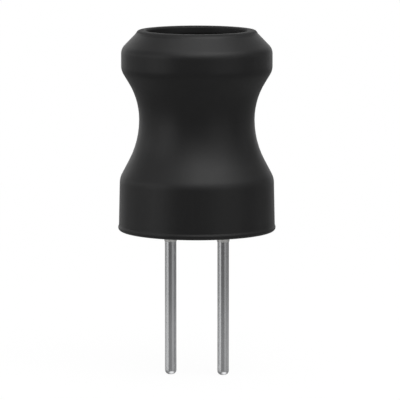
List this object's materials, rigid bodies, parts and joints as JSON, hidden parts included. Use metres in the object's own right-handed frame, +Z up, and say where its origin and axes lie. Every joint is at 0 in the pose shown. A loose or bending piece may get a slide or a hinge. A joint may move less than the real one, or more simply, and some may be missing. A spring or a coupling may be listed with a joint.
{
  "type": "drum core inductor",
  "caption": "Radial-leaded drum core inductor: a wound ferrite drum in a black waisted heat-shrink tube, open at the top, with straight round leads below for a circuit board.",
  "frame": {"origin": "on the drum's axis, in the plane of the tube's lower edge, which is the board plane", "axes": "+Z up along the drum's axis, away from the leads; X along the row of leads; Y across it"},
  "size_m": [0.0152, 0.0152, 0.0334],
  "materials": {
    "tube_black": "black shrunk polyolefin, satin, with a soft sheen",
    "ferrite": "dark grey sintered ferrite, dull",
    "enamelled_copper": "copper wire under clear enamel, glossy",
    "tinned_lead": "tinned, drawn lengthwise, half bright",
    "adhesive": "cured amber-brown adhesive",
    "solder": "tin solder, bright, slightly frosted"
  },
  "bodies": {
    "root": {"heat_shrink_tube": "tube_black", "drum_core": "ferrite", "winding": "enamelled_copper", "lead_pin_left": "tinned_lead", "lead_pin_right": "tinned_lead", "lead_adhesive_left": "adhesive", "lead_adhesive_right": "adhesive", "solder_joint_left": "solder", "solder_joint_right": "solder"}
  },
  "joints": []
}
